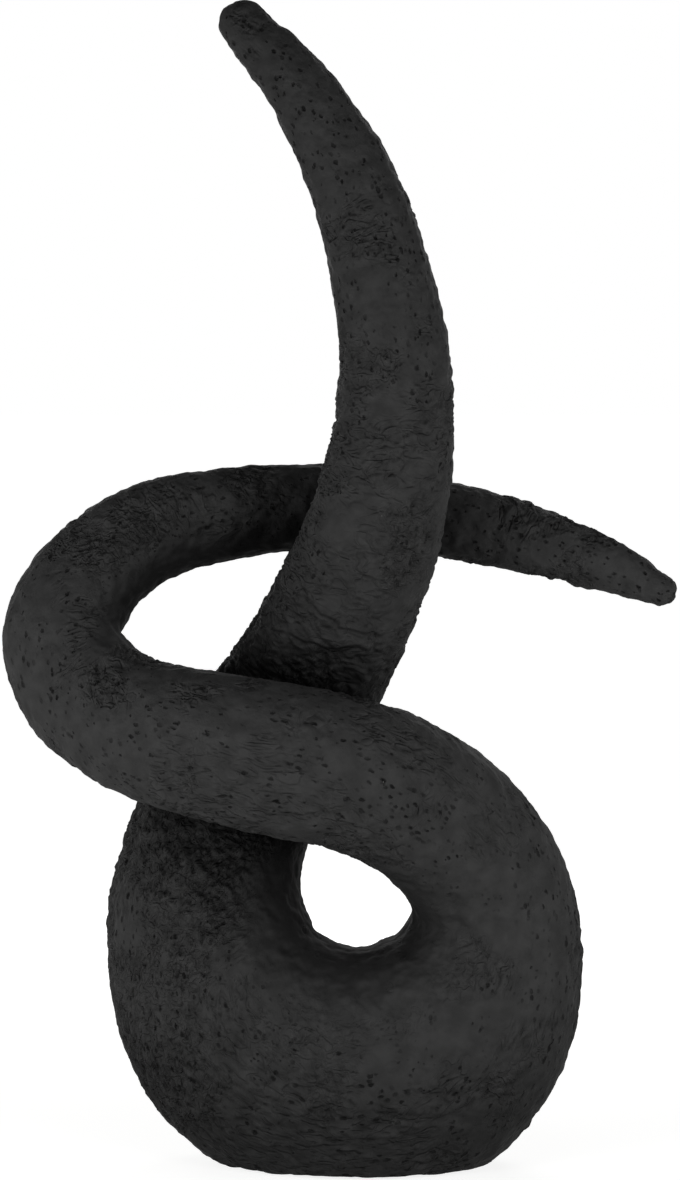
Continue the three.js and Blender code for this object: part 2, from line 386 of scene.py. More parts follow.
@dataclass
class Strand:
    """The whole strand's centre line and thickness, as the frame's solids have them."""

    # How far the strand steps in depth, to pass in front of another strand or behind it
    step_forward: float = 30.6909
    step_back: float = 26.94
    # From the drawn line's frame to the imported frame
    shift: tuple[float, float, float] = (1.57962, 5.22244, 0.0)
    # A section faces along the line over this reach to either side
    steady_reach: float = 12.0
    # Round the foot's eye the sections fan out. They do so fully this far from the joints
    fan_reach: float = 60.0
    eye_height: float = 77.0
    divisions_per_station: int = 40
    tall_horn: tuple[Station, ...] = (
        Station(-29.5, 324.5, 13.5, y=-4),
        Station(-15, 308.5, 18.5, y=-7),
        Station(1.5, 280, 24.5, y=-9),
        Station(10, 252, 28.5, y=-10),
        Station(13.5, 224, 32.5, y=-10),
        Station(8, 184, 38.5, y=-6),
        Station(-12.5, 137, 44.5, y=11),
    )
    tall_joint_station: Station = Station(-25, 118, 47, y=17)
    left_rise: tuple[Station, ...] = (
        Station(-34.5, 99, 50, y=17),
        Station(-41, 72, 56, y=11),
        Station(-34, 44.5, 67, y=5, deep=61),
        Station(-18.5, 31, 72, y=2, deep=64),
    )
    foot: Station = Station(2, 26, 72.5, y=0, deep=65)
    right_rise: tuple[Station, ...] = (
        Station(22.5, 31, 71.5, deep=64),
        Station(35, 44, 64, deep=60),
        Station(41, 60, 54),
    )
    band_joint_station: Station = Station(40.5, 80, 45.5, step=-0.1)
    band: tuple[Station, ...] = (
        Station(28.5, 99, 43.5, step=-0.4),
        Station(6, 114, 43.5, step=-0.8),
        Station(-28, 122.5, 42, step=-1),
        Station(-62, 129, 38, step=-0.35),
    )
    left_bend: tuple[Station, ...] = (
        Station(-76, 139, 37),
        Station(-81, 154, 33.5, step=0.22),
        Station(-63, 176.5, 30, step=0.72),
    )
    short_horn: tuple[Station, ...] = (
        Station(-29, 185.5, 26, step=0.95),
        Station(3, 186, 24.5, step=1),
        Station(31, 182.5, 22, step=0.95),
        Station(55, 177, 19.5, step=0.86),
        Station(79, 168.5, 14, step=0.74),
        Station(90.5, 163, 9.5, step=0.68),
    )

    def __post_init__(self) -> None:
        """Lay the lines through the stations and measure them."""
        joints = (self.tall_joint_station, self.band_joint_station)
        loop = (joints[0], *self.left_rise, self.foot, *self.right_rise, joints[1])
        stations = (*self.tall_horn, *loop, *self.band, *self.left_bend, *self.short_horn)
        centres = np.array([(s.x, self._depth_of(s), s.z) for s in stations], float)
        halves = np.array([(s.thick / 2, (s.deep or s.thick) / 2) for s in stations], float)
        self._line = SmoothLine(centres, spaced_by_distance=True)
        self._size = SmoothLine(halves, spaced_by_distance=False)
        self._shares = np.linspace(0.0, 1.0, self.divisions_per_station * len(stations) + 1)
        steps = np.linalg.norm(np.diff(self._line.at(self._shares), axis=0), axis=1)
        self._lengths = np.concatenate([[0.0], np.cumsum(steps)])
        self.total = float(self._lengths[-1])
        places = [stations.index(joint) / (len(stations) - 1) for joint in joints]
        self.tall_joint, self.band_joint = np.interp(places, self._shares, self._lengths).tolist()

    def _depth_of(self, station: Station) -> float:
        """Return how far back a station lies."""
        step = self.step_forward if station.step < 0 else self.step_back
        return station.step * step if station.y is None else station.y

    def _share_at(self, way: np.ndarray) -> np.ndarray:
        """Return the parameters that lie these lengths along the line."""
        return np.interp(np.clip(way, 0.0, self.total), self._lengths, self._shares)

    def sections(self, way: np.ndarray) -> Sections:
        """Return the strand's cross-sections.

        Args:
            way: Lengths along the line from the tall horn's last station, in millimetres.

        Returns:
            One section for each length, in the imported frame.
        """
        share = self._share_at(way)
        centre = self._line.at(share)
        behind = self._line.at(self._share_at(way - self.steady_reach))
        ahead = self._line.at(self._share_at(way + self.steady_reach))
        heading = unit(ahead - behind)
        level = np.zeros(len(way))
        rim = unit(np.stack([self.eye_height - centre[:, 2], level, centre[:, 0] - self.foot.x], axis=1))
        rim[:, 1] = heading[:, 1]
        fan = smooth_step(way, self.tall_joint, self.tall_joint + self.fan_reach)
        fan *= smooth_step(-way, -self.band_joint, self.fan_reach - self.band_joint)
        heading = unit(heading + (rim - heading) * fan[:, None])
        across = unit(np.cross(np.array([0.0, 1.0, 0.0]), heading))
        radius, depth = self._size.at(share).T
        return Sections(centre + np.array(self.shift), across, np.cross(heading, across), radius, depth, way)

    def tip(self, at_start: bool, length: float, rings: int, sweep: float) -> Sections:
        """Return the ever smaller sections that round off one of the strand's tips.

        Args:
            at_start: True for the tall horn's tip, False for the short horn's.
            length: How far the tip stands beyond the last station.
            rings: How many sections it has.
            sweep: Degrees of the rounding, up to the small flat that closes it.

        Returns:
            The sections, in the order of the strand.
        """
        turn = np.radians(sweep * np.arange(1, rings + 1) / rings)
        base = self.sections(np.full(rings, 0.0 if at_start else self.total))
        ahead = (-length if at_start else length) * np.sin(turn)
        centre = base.centre + base.heading * ahead[:, None]
        shrink = np.cos(turn)
        order = slice(None, None, -1) if at_start else slice(None)
        size = (base.radius * shrink, base.depth * shrink)
        parts = (centre, base.across, base.through, *size, base.way + ahead)
        return Sections(*(part[order] for part in parts))


# Finishes


@dataclass(frozen=True)
class Finish:
    """What every finish has: its name, its roughness, and how many millimetres its relief is high."""

    name: str
    roughness: float
    relief: float

    def material(self) -> bpy.types.Material:
        """Make the material.

        Returns:
            The material, made of nodes.
        """
        made = bpy.data.materials.new(self.name)
        add = emptied(made)
        colour, height, own = self.surface(add, add("ShaderNodeTexCoord").outputs["Object"])
        bump = add("ShaderNodeBump", {"Strength": 1.0, "Distance": self.relief * MM, "Height": height})
        looks = {"Base Color": colour, "Roughness": self.roughness, "Normal": bump, **own}
        add("ShaderNodeOutputMaterial", {"Surface": add("ShaderNodeBsdfPrincipled", looks)})
        return made

    def surface(self, add: Adder, place: Any) -> tuple[Any, Any, dict[str, float]]:
        """Return what is the finish's own.

        Args:
            add: Adds a node to the material.
            place: The object coordinate.

        Returns:
            The colour, the relief's height, and the shader's other values by name.
        """
        raise NotImplementedError

    @staticmethod
    def layered(add: Adder, base: str, *layers: tuple[Any, str]) -> Any:
        """Lay colours over one another.

        Args:
            add: Adds a node to the material.
            base: The lowest colour.
            layers: The share and the colour of each layer above it.

        Returns:
            The resulting colour.
        """
        colour: Any = linear(base)
        for share, shade in layers:
            mixed = add("ShaderNodeMix", {0: share, 6: colour, 7: linear(shade)}, data_type="RGBA")
            colour = mixed.outputs[2]
        return colour


@dataclass(frozen=True)
class CastResin(Finish):
    """Polyester casting resin filled with stone powder, sprayed with a matt charcoal-black coat.

    It was cast in a rubber mould off a hand-modelled master, so it keeps the master's pits, tool
    wrinkles and grit. The coat scatters light evenly and has only a broad, weak sheen.
    """

    name: str = "matt_black_cast_resin"
    roughness: float = 0.8
    relief: float = 1.0
    ior: float = 1.5
    gloss_level: float = 0.05
    coat: str = "303030"
    # Handling has rubbed the coat a little lighter in patches
    coat_rubbed: str = "393939"
    tone_size: float = 5.0
    rubbed_from: float = 0.35
    rubbed_to: float = 0.65
    # Painted shade: between the strands and in recesses the colour darkens to near black by ambient
    # occlusion, not at all where this share of the surroundings or more is open, and wholly at the second
    # share or less
    bare: str = "0e0e0e"
    gun_reach: float = 60.0
    gun_samples: int = 8
    hidden_from: float = 0.92
    hidden_to: float = 0.42
    # The painted shade is weaker near the ground: below this height it is scaled down, to this share at the
    # ground
    block_height: float = 60.0
    hidden_by_block: float = 0.35
    # Air bubbles and grit leave pits, 0.45 to 1.1 mm across at half their depth and longer along the strand.
    # The width is the widest one's, from rim to rim
    # The pits' dark colour is painted shade, darker where a pit is deeper
    pit_floor: str = "101010"
    pit_pitch: float = 1.6
    pit_width: float = 1.65
    pit_depth: float = 0.75
    pit_length: float = 1.4
    pit_share: float = 0.6
    # The narrowest spot's width as a share of the widest one's, its flat floor's as a share of its own, and
    # the shallowest one's depth as a share of the deepest one's
    spot_least: float = 0.4
    spot_floor: float = 0.35
    spot_shallow: float = 0.45
    # Pits and rings have ragged outlines
    ragged_size: float = 1.1
    ragged_reach: float = 0.9
    # Burst bubbles leave shallow rings
    ring_pitch: float = 9.0
    ring_width: float = 4.4
    ring_least: float = 0.6
    ring_share: float = 0.45
    ring_line: float = 0.5
    ring_depth: float = 0.14
    # The stone powder's grit under the coat, in clumps of a millimetre or so, less of it between the pits
    grain_size: float = 1.5
    grain_height: float = 0.38
    grain_on_flats: float = 0.4
    # The finest folds, between those that the mesh has
    fold_pitch: float = 2.8
    fold_length: float = 5.0
    fold_depth: float = 0.42
    # Painted glints: a few tiny light specks
    speck: str = "8d8d8a"
    speck_pitch: float = 11.0
    speck_width: float = 0.8
    speck_share: float = 0.5

    def surface(self, add: Adder, place: Any) -> tuple[Any, Any, dict[str, float]]:
        """Return the coat with painted shade in the recesses and pits, painted glints, and the cast skin's
        relief.

        Args:
            add: Adds a node to the material.
            place: The object coordinate.

        Returns:
            The colour, the relief's height, and the coat's index and gloss.
        """
        height, pits = self._relief(add, place)
        tone = add(NOISE, pattern(place, self.tone_size, Detail=4.0))
        rubbed = add(RANGE, (tone, self.rubbed_from, self.rubbed_to, 0.0, 1.0))
        reach = {"Distance": self.gun_reach * MM}
        # Painted shade: ambient occlusion darkens the colour where the surroundings are closed, less near the
        # ground
        around = add("ShaderNodeAmbientOcclusion", reach, samples=self.gun_samples).outputs["AO"]
        hidden = add(RANGE, (around, self.hidden_to, self.hidden_from, 1.0, 0.0))
        level = add(SPLIT, (place,)).outputs["Z"]
        missed = add(RANGE, (level, 0.0, self.block_height * MM, self.hidden_by_block, 1.0))
        hidden = add(MATH, (hidden, missed), operation="MULTIPLY")
        # Light specks scattered over the coat are painted glints
        specks = self._spots(add, place, (self.speck_pitch, self.speck_width), self.speck_share)
        # The rubbed patches are the coat's own tone; the near-black layer is painted shade
        coats = ((rubbed, self.coat_rubbed), (hidden, self.bare))
        # The pits' dark colour is painted shade
        colour = self.layered(add, self.coat, *coats, (pits, self.pit_floor), (specks, self.speck))
        return colour, height, {"IOR": self.ior, "Specular IOR Level": self.gloss_level}

    def _spots(self, add: Adder, place: Any, size: tuple[float, float], share: float) -> bpy.types.Node:
        """Return a mask of scattered round spots.

        Args:
            add: Adds a node to the material.
            place: The coordinate that the spots are scattered in.
            size: Their mean distance and the widest one's diameter, in millimetres.
            share: The share of spots that are kept.

        Returns:
            A node that is 1 at a deep spot's middle and 0 outside it.
        """
        off, radius, kept, random = scattered(add, place, size, self.spot_least, share)
        floor = add(MATH, (radius, self.spot_floor), operation="MULTIPLY")
        spot = add(RANGE, (off, floor, radius, 1.0, 0.0), interpolation_type="SMOOTHSTEP")
        deep = add(RANGE, (random, 0.0, 1.0, self.spot_shallow, 1.0))
        shown = add(MATH, (spot, deep), operation="MULTIPLY")
        return add(MATH, (shown, kept), operation="MULTIPLY")

    def _rings(self, add: Adder, place: Any) -> bpy.types.Node:
        """Return a mask of scattered ring-shaped lines.

        Args:
            add: Adds a node to the material.
            place: The coordinate that they are scattered in.

        Returns:
            A node that is 1 on a line and 0 off it.
        """
        size = (self.ring_pitch, self.ring_width)
        off, radius, kept, _ = scattered(add, place, size, self.ring_least, self.ring_share)
        off = add(MATH, (off, radius), operation="SUBTRACT")
        off = add(MATH, (off,), operation="ABSOLUTE")
        end = self.ring_line / self.ring_pitch
        line = add(RANGE, (off, 0.0, end, 1.0, 0.0), interpolation_type="SMOOTHSTEP")
        return add(MATH, (line, kept), operation="MULTIPLY")

    def _relief(self, add: Adder, place: Any) -> tuple[bpy.types.Node, bpy.types.Node]:
        """Return the fine relief of the skin in millimetres, and the mask of its pits.

        Args:
            add: Adds a node to the material.
            place: The object coordinate.

        Returns:
            The height's node and the mask's node.
        """
        kinds = {"FLOAT_VECTOR": "Vector", "FLOAT": "Fac"}
        laid, folded, pitted = (
            add("ShaderNodeAttribute", attribute_type="GEOMETRY", attribute_name=name).outputs[kinds[kind]]
            for name, kind in STORED.items()
        )
        ragged = add(NOISE, pattern(place, self.ragged_size, Detail=1.0))
        pulled = add(VECTOR, (ragged.outputs["Color"], (MIDDLE,) * 3), operation="SUBTRACT")
        squeezed = add(VECTOR, (laid, (1.0, 1.0, 1 / self.pit_length)), operation="MULTIPLY")
        wandering = add(VECTOR, (pulled, (self.ragged_reach * MM,) * 3, squeezed), operation="MULTIPLY_ADD")
        pits = self._spots(add, wandering, (self.pit_pitch, self.pit_width), self.pit_share)
        pits = add(MATH, (pits, pitted), operation="MULTIPLY")
        grain = add(NOISE, pattern(place, self.grain_size, Detail=3.0))
        grain = add(MATH, (grain, MIDDLE), operation="SUBTRACT")
        rough = add(RANGE, (pitted, 0.0, 1.0, self.grain_on_flats, 1.0))
        grain = add(MATH, (grain, rough), operation="MULTIPLY")
        folds = (self.fold_pitch, self.fold_length)
        height: Any = fold_depth(add, place, laid, folded, folds, (self.fold_depth,) * 3)
        rings = self._rings(add, wandering)
        for part, size in ((grain, self.grain_height), (rings, -self.ring_depth), (pits, -self.pit_depth)):
            height = add(MATH, (part, size, height), operation="MULTIPLY_ADD")
        return height, pits


@dataclass(frozen=True)
class DrawnSteel(Finish):
    """Mild steel rod, cold drawn: a grey metal, finely scored by the die and a little uneven in tone."""

    name: str = "drawn_mild_steel"
    roughness: float = 0.34
    relief: float = 0.01
    bright: str = "9a9b9d"
    dull: str = "77787a"
    score_size: float = 0.25
    tone_size: float = 6.0

    def surface(self, add: Adder, place: Any) -> tuple[Any, Any, dict[str, float]]:
        """Return the drawn surface.

        Args:
            add: Adds a node to the material.
            place: The object coordinate.

        Returns:
            The colour, the scores' height, and that it is a metal.
        """
        scores = add(NOISE, pattern(place, self.score_size, Detail=2.0))
        tone = add(NOISE, pattern(place, self.tone_size))
        return self.layered(add, self.dull, (tone, self.bright)), scores, {"Metallic": 1.0}


@dataclass(frozen=True)
class PressedFelt(Finish):
    """Needled wool felt, pressed: matted fibres of about 0.03 mm, dyed black, with a soft nap."""

    name: str = "pressed_black_felt"
    roughness: float = 0.95
    relief: float = 0.08
    fibre_dark: str = "101010"
    fibre_light: str = "2a2a2b"
    # Fibres are drawn at 0.15 mm so that they show
    fibre_width: float = 0.15
    fibre_length: float = 1.6
    # The way that most fibres lie, as turns about the three axes in radians
    lay: tuple[float, float, float] = (0.3, 0.2, 0.6)
    nap: float = 0.35

    def surface(self, add: Adder, place: Any) -> tuple[Any, Any, dict[str, float]]:
        """Return the matted fibres.

        Args:
            add: Adds a node to the material.
            place: The object coordinate.

        Returns:
            The colour, the fibres' height, and the nap.
        """
        stretch = (1.0, self.fibre_width / self.fibre_length, 1.0)
        laid = add("ShaderNodeMapping", {"Vector": place, "Rotation": self.lay, "Scale": stretch})
        fibres = add(NOISE, pattern(laid, self.fibre_width, Detail=3.0, Distortion=1.5))
        colour = self.layered(add, self.fibre_dark, (fibres, self.fibre_light))
        return colour, fibres, {"Sheen Weight": self.nap}


# The castings' skin


def fold_depth(
    add: Adder, place: Any, laid: Any, where: Any, size: tuple[float, float], depths: Any
) -> bpy.types.NodeSocket:
    """Return creases across the strand, along it, and matted every way.

    Args:
        add: Adds a node to the tree.
        place: The place in space, in metres.
        laid: The place on a straightened strand, in metres.
        where: A vector that gives where each of the three kinds lies, from 0 to 1.
        size: The distance between creases and their length, in millimetres.
        depths: The depth of each of the three kinds.

    Returns:
        A socket that is 0 between creases, minus the depth in them and a little above 0 at their lips.
    """
    short, long = (1 / (s * MM) for s in size)
    noises = []
    for source, scale in ((laid, (long, long, short)), (laid, (short, short, long)), (place, (short,) * 3)):
        stretched = add(VECTOR, (source, scale), operation="MULTIPLY")
        noises.append(add(NOISE, {"Vector": stretched, "Scale": 1.0, "Detail": 1.5, "Distortion": 0.7}))
    off = add(VECTOR, (add(JOIN, noises), (MIDDLE,) * 3), operation="SUBTRACT")
    off = add(VECTOR, (off,), operation="ABSOLUTE")
    smooth = {"data_type": "FLOAT_VECTOR", "interpolation_type": "SMOOTHSTEP"}
    shapes = []
    for width, height in ((CREASE_WIDTH, -1.0), (MOUND_WIDTH, MOUND_HEIGHT)):
        ends = {7: (0.0,) * 3, 8: (width,) * 3, 9: (height,) * 3, 10: (0.0,) * 3}
        shapes.append(add(RANGE, {6: off, **ends}, **smooth).outputs["Vector"])
    creased = add(VECTOR, (shapes[0], (1.0 + MOUND_HEIGHT,) * 3, shapes[1]), operation="MULTIPLY_ADD")
    there = add(VECTOR, (creased, where), operation="MULTIPLY")
    return add(VECTOR, (there, depths), operation="DOT_PRODUCT").outputs["Value"]


@dataclass(frozen=True)
class SkinStation:
    """How much of each kind of relief the skin has at a place along the strand, from 0 to 1."""

    way: float
    cross_folds: float
    long_folds: float
    matted: float
    pitted: float
    # How far the pits keep to the strand's two sides as seen from the front
    at_sides: float
    # Which of those sides is smooth: 1 is the one that the section's across points to, -1 the other
    smooth_side: float


@dataclass(frozen=True)
class StrandSkin:
    """The rule that lays a casting's skin over its cross-sections and gives it its relief."""

    # Slow waves of the hand-modelled master, lumps under the fingers, and grit in the coat
    sway_size: float = 34.0
    sway_height: float = 0.3
    lump_size: float = 7.0
    lump_height: float = 0.42
    grit_size: float = 3.2
    grit_height: float = 0.24
    # Noise between these two levels gives the whole of a wave's, lump's or grit's height, down and up
    noise_low: float = 0.25
    noise_high: float = 0.75
    # Folds where the soft paste was pushed, in patches
    fold_pitch: float = 3.8
    fold_length: float = 7.5
    fold_depth: float = 0.5
    patch_size: float = 22.0
    patch_from: float = 0.62
    patch_to: float = 0.74
    share_weight: float = 0.3
    # Pits lie in smaller patches that start earlier
    cluster_size: float = 11.0
    cluster_from: float = 0.5
    cluster_to: float = 0.7
    # Where the smooth side starts and is fully smooth, as a share of the way from the middle to the side
    smooth_from: float = 0.1
    smooth_to: float = 0.7
    # The larger pits
    dent_pitch: float = 4.6
    dent_width: float = 2.0
    dent_depth: float = 0.5
    dent_least: float = 0.6
    dent_share: float = 0.5
    # From this near to the frame's outermost faces the skin stands ever less proud, and it stays inside them
    proud_margin: float = 1.5
    box_margin: float = 0.02
    # The skin runs into the ground face over this much
    ground_blend: float = 1.0
    stations: tuple[SkinStation, ...] = (
        SkinStation(0, 0.1, 0.1, 0.15, 1.0, 0.0, 0.0),
        SkinStation(55, 0.3, 0.1, 0.15, 1.0, 0.1, 0.0),
        SkinStation(90, 0.35, 0.0, 0.1, 0.9, 0.4, 0.0),
        SkinStation(125, 1.0, 0.0, 0.2, 0.7, 0.8, 0.0),
        SkinStation(190, 1.1, 0.0, 0.3, 0.5, 0.8, 0.0),
        SkinStation(228, 0.7, 0.2, 0.6, 0.6, 0.4, 0.0),
        SkinStation(265, 0.3, 0.3, 1.0, 0.8, 0.2, -0.8),
        SkinStation(300, 0.1, 0.5, 0.9, 1.0, 0.2, -1.0),
        SkinStation(335, 0.0, 1.0, 0.3, 0.7, 0.0, -0.8),
        SkinStation(385, 0.0, 0.5, 0.0, 0.8, 0.9, -1.0),
        SkinStation(430, 0.0, 0.35, 0.0, 0.8, 0.9, -1.0),
        SkinStation(480, 0.1, 0.5, 0.1, 0.8, 0.3, -0.3),
        SkinStation(540, 0.1, 0.45, 0.1, 0.6, 0.0, 0.0),
        SkinStation(590, 0.25, 0.2, 0.1, 0.6, 0.3, 0.6),
        SkinStation(640, 0.3, 0.1, 0.2, 0.8, 0.2, 1.0),
        SkinStation(700, 0.1, 0.1, 0.3, 0.9, 0.0, 0.4),
        SkinStation(790, 0.0, 0.1, 0.25, 1.0, 0.0, 0.0),
    )

    def shares(self, way: np.ndarray) -> dict[str, np.ndarray]:
        """Return the shares of relief along the strand.

        Args:
            way: Lengths along the strand in millimetres.

        Returns:
            The three kinds of fold as the columns of one array, and each other share, by name.
        """
        ways, *columns = np.array([[*vars(station).values()] for station in self.stations]).T
        held = [np.interp(way, ways, column) for column in columns]
        others = zip(("pitted", "at_sides", "smooth_side"), held[3:])
        return {"folds": np.stack(held[:3], axis=1), **dict(others)}

    def tree(self) -> bpy.types.NodeTree:
        """Make the node tree, with named inputs for the sizes that a casting gives it.

        Returns:
            The tree: a tube over the path's sections, with its relief pushed in and out.
        """
        sockets = {
            "Path": "Geometry",
            "Around": "Int",
            "Ground height": "Float",
            "Half box": "Vector",
            "Sway height": "Float",
            "Lump height": "Float",
            "Grit height": "Float",
            "Fold depths": "Vector",
            "Dent depth": "Float",
            "Coat": "Material",
        }
        tree, add, given = geometry_tree("strand_skin", sockets, "Skin")
        tube, laid, read = self._tube(add, given)
        place = add("GeometryNodeInputPosition")
        folded, pitted = self._masks(add, place, read)
        skin = self._raised(add, given, tube, self._height(add, given, place, laid, folded, pitted))
        for (name, kind), value in zip(STORED.items(), (laid, folded, pitted)):
            kept = {"Geometry": skin, "Name": name, "Value": value}
            skin = add("GeometryNodeStoreNamedAttribute", kept, data_type=kind, domain="POINT")
        real = add("GeometryNodeRealizeInstances", (skin,))
        coated = add("GeometryNodeSetMaterial", {"Geometry": real, "Material": given["Coat"]})
        add("NodeGroupOutput", (coated,))
        return tree

    @staticmethod
    def _tube(add: Adder, given: Any) -> tuple[bpy.types.Node, bpy.types.Node, dict[str, bpy.types.Node]]:
        """Lay an open tube over the path's sections.

        Args:
            add: Adds a node to the tree.
            given: The sockets that the tree's inputs come in by.

        Returns:
            The tube, its places on a straightened strand, and what each of its points reads off the path.
        """
        size = add("GeometryNodeAttributeDomainSize", (given["Path"],), component="MESH")
        line = {"Curve": add("GeometryNodeCurvePrimitiveLine"), "Count": size.outputs["Point Count"]}
        dotted = add("GeometryNodeResampleCurve", line)
        circle = add("GeometryNodeCurvePrimitiveCircle", {"Resolution": given["Around"]})
        tube = add("GeometryNodeCurveToMesh", {"Curve": dotted, "Profile Curve": circle})
        share = add(MATH, (add("GeometryNodeInputIndex"), given["Around"]), operation="DIVIDE")
        ring = add(MATH, (share,), operation="FLOOR")
        side = add(MATH, (share,), operation="FRACT")
        turn = add(MATH, (side, math.tau), operation="MULTIPLY")
        read = {}
        vectors = ("centre", "across", "through", "folds")
        for name in (*vectors, "radius", "depth", "way", "pitted", "at_sides", "smooth_side"):
            kind = "FLOAT_VECTOR" if name in vectors else "FLOAT"
            named = add("GeometryNodeInputNamedAttribute", {"Name": name}, data_type=kind)
            source = {"Geometry": given["Path"], "Value": named, "Index": ring}
            read[name] = add("GeometryNodeSampleIndex", source, data_type=kind, domain="POINT")
        read["cosine"] = add(MATH, (turn,), operation="COSINE")
        sine = add(MATH, (turn,), operation="SINE")
        sideways = add(MATH, (read["cosine"], read["radius"]), operation="MULTIPLY")
        inwards = add(MATH, (sine, read["depth"]), operation="MULTIPLY")
        point: Any = read["centre"]
        for axis, length in (("across", sideways), ("through", inwards)):
            spread = add(VECTOR, {0: read[axis], "Scale": length}, operation="SCALE")
            point = add(VECTOR, (point, spread), operation="ADD")
        laid = add(JOIN, (sideways, inwards, read["way"]))
        return add(PLACE, {"Geometry": tube, "Position": point}), laid, read

    def _masks(
        self, add: Adder, place: Any, read: dict[str, bpy.types.Node]
    ) -> tuple[bpy.types.NodeSocket, bpy.types.Node]:
        """Return where each kind of fold lies and where the skin is pitted, each from 0 to 1.

        Args:
            add: Adds a node to the tree.
            place: The place in space.
            read: What each point reads off the path.

        Returns:
            The folds' three shares as a vector, and the pits' share.
        """
        patches = add(NOISE, pattern(place, self.patch_size, Detail=1.5)).outputs["Color"]
        raised = add(VECTOR, (read["folds"], (self.share_weight,) * 3, patches), operation="MULTIPLY_ADD")
        ends = {7: (self.patch_from,) * 3, 8: (self.patch_to,) * 3, 9: (0.0,) * 3, 10: (1.0,) * 3}
        smooth = {"interpolation_type": "SMOOTHSTEP"}
        folded = add(RANGE, {6: raised, **ends}, data_type="FLOAT_VECTOR", **smooth).outputs["Vector"]
        aside = add(MATH, (read["cosine"], 2.0), operation="POWER")
        sides = add("ShaderNodeMix", {0: read["at_sides"], 2: 1.0, 3: aside}, data_type="FLOAT")
        share = add(MATH, (read["pitted"], sides), operation="MULTIPLY")
        cluster = add(NOISE, pattern(place, self.cluster_size, Detail=1.5))
        there = add(MATH, (share, self.share_weight, cluster), operation="MULTIPLY_ADD")
        pitted = add(RANGE, (there, self.cluster_from, self.cluster_to, 0.0, 1.0), **smooth)
        aside = add(MATH, (read["cosine"], read["smooth_side"]), operation="MULTIPLY")
        rough = add(RANGE, (aside, self.smooth_from, self.smooth_to, 1.0, 0.0), **smooth)
        folded = add(VECTOR, {0: folded, "Scale": rough}, operation="SCALE").outputs["Vector"]
        return folded, add(MATH, (pitted, rough), operation="MULTIPLY")

    def _height(
        self, add: Adder, given: Any, place: Any, laid: Any, folded: Any, pitted: Any
    ) -> bpy.types.Node:
        """Return how far the skin stands in or out, in metres.

        Args:
            add: Adds a node to the tree.
            given: The sockets that the tree's inputs come in by.
            place: The place in space.
            laid: The place on a straightened strand.
            folded: Where each kind of fold lies.
            pitted: Where the skin is pitted.

        Returns:
            The height's node.
        """
        folds = (self.fold_pitch, self.fold_length)
        height: Any = fold_depth(add, place, laid, folded, folds, given["Fold depths"])
        waves = (("Sway", self.sway_size, 1.0), ("Lump", self.lump_size, 1.5), ("Grit", self.grit_size, 1.0))
        for name, size, detail in waves:
            noise = add(NOISE, pattern(place, size, Detail=detail))
            level = add(RANGE, (noise, self.noise_low, self.noise_high, -1.0, 1.0), clamp=False)
            height = add(MATH, (level, given[f"{name} height"], height), operation="MULTIPLY_ADD")
        size = (self.dent_pitch, self.dent_width)
        off, radius, kept, _ = scattered(add, place, size, self.dent_least, self.dent_share)
        dent = add(RANGE, (off, 0.0, radius, -1.0, 0.0), interpolation_type="SMOOTHSTEP")
        shown = add(MATH, (dent, kept), operation="MULTIPLY")
        shown = add(MATH, (shown, pitted), operation="MULTIPLY")
        return add(MATH, (shown, given["Dent depth"], height), operation="MULTIPLY_ADD")

    def _raised(self, add: Adder, given: Any, tube: Any, height: Any) -> bpy.types.Node:
        """Push the tube's skin in and out, keep it in the frame's box and grind it flat at the ground.

        Args:
            add: Adds a node to the tree.
            given: The sockets that the tree's inputs come in by.
            tube: The plain tube.
            height: How far the skin stands in or out.

        Returns:
            The node that gives the finished skin.
        """
        place = add("GeometryNodeInputPosition")
        spread = add(VECTOR, (place,), operation="ABSOLUTE")
        spare = add(SPLIT, (add(VECTOR, (given["Half box"], spread), operation="SUBTRACT"),)).outputs
        least = add(MATH, (spare[0], spare[1]), operation="MINIMUM")
        least = add(MATH, (least, spare[2]), operation="MINIMUM")
        free = add(RANGE, (least, 0.0, self.proud_margin * MM, 0.0, 1.0), interpolation_type="SMOOTHSTEP")
        proud = add(MATH, (height, 0.0), operation="MAXIMUM")
        sunk = add(MATH, (height, 0.0), operation="MINIMUM")
        kept = add(MATH, (proud, free, sunk), operation="MULTIPLY_ADD")
        push = add(VECTOR, {0: add("GeometryNodeInputNormal"), "Scale": kept}, operation="SCALE")
        pushed = add(PLACE, {"Geometry": tube, "Offset": push})
        high = add(VECTOR, (add("GeometryNodeInputPosition"), given["Half box"]), operation="MINIMUM")
        low = add(VECTOR, {0: given["Half box"], "Scale": -1.0}, operation="SCALE")
        held = add(SPLIT, (add(VECTOR, (high, low), operation="MAXIMUM"),)).outputs
        ground = add(MATH, (held[2], given["Ground height"], self.ground_blend * MM), operation="SMOOTH_MAX")
        flat = add(JOIN, (held[0], held[1], ground))
        return add(PLACE, {"Geometry": pushed, "Position": flat})


# The castings


